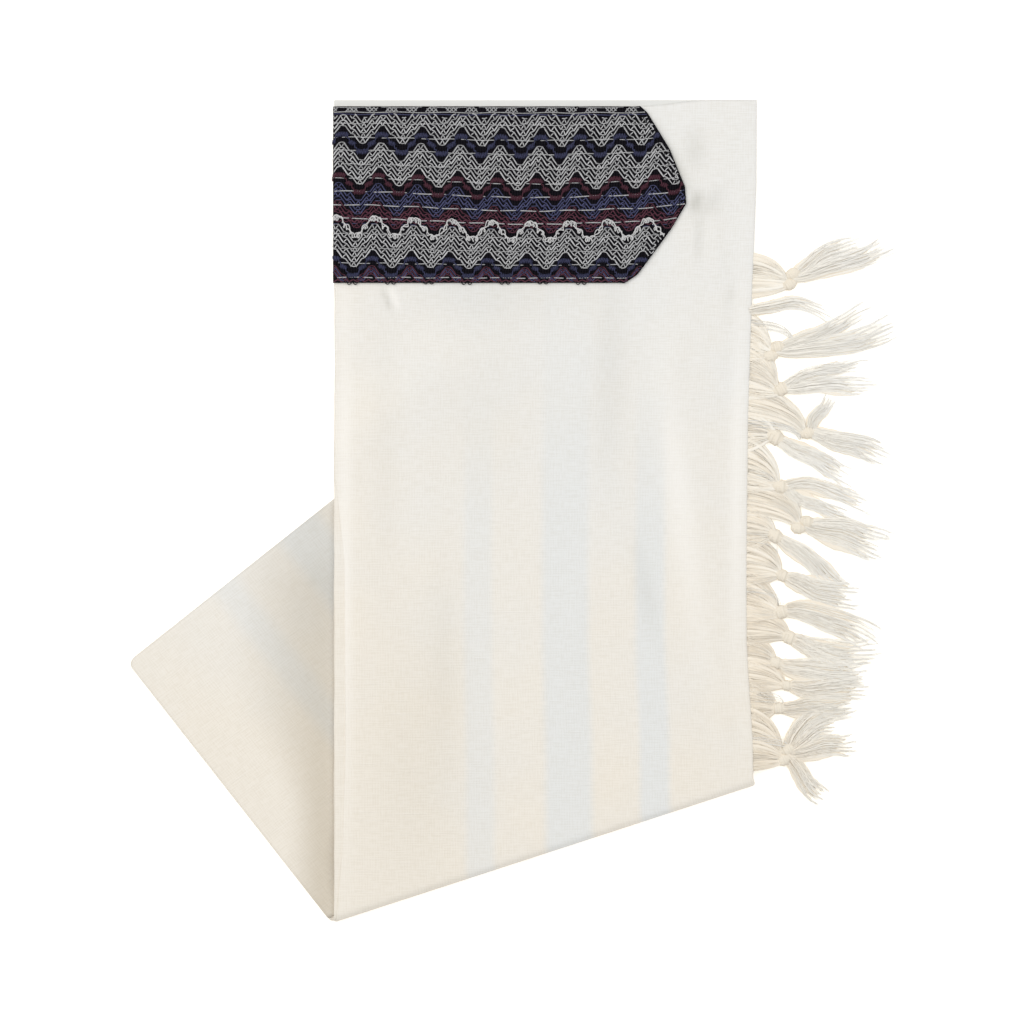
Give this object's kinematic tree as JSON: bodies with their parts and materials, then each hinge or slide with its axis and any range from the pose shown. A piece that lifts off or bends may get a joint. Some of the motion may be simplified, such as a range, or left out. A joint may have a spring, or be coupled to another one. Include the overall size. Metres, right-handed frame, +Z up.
{
  "type": "folded tallit prayer shawl",
  "caption": "Cream prayer shawl folded small and laid flat, with a zigzag-knit neck band and knotted fringe down one side.",
  "frame": {"origin": "under the middle of the whole folded shawl, on the surface that it lies on", "axes": "+Z up out of the surface, +Y along the front stretch towards the neck band's edge, +X towards the fringe"},
  "size_m": [0.5418, 0.5821, 0.0113],
  "materials": {
    "cloth": "fine plain-woven cream cloth, matt, with faint slubs and pale blue-grey woven stripes",
    "cloth_folds": "the same cloth seen edge on in the folds",
    "neck_band": "zigzag-knitted band in black, grey, navy, burgundy and white yarn",
    "fringe": "loose cream thread tied in knots, slightly glossy"
  },
  "bodies": {
    "root": {"front_panel": "cloth", "folded_layers": "cloth_folds", "rear_panel": "cloth", "neck_band": "neck_band", "tassel_01": "fringe", "tassel_02": "fringe", "tassel_03": "fringe", "tassel_04": "fringe", "tassel_05": "fringe", "tassel_06": "fringe", "tassel_07": "fringe", "tassel_08": "fringe", "tassel_09": "fringe", "tassel_10": "fringe", "tassel_11": "fringe", "tassel_12": "fringe", "tassel_13": "fringe", "tassel_14": "fringe", "tassel_15": "fringe", "tassel_16": "fringe"}
  },
  "joints": []
}
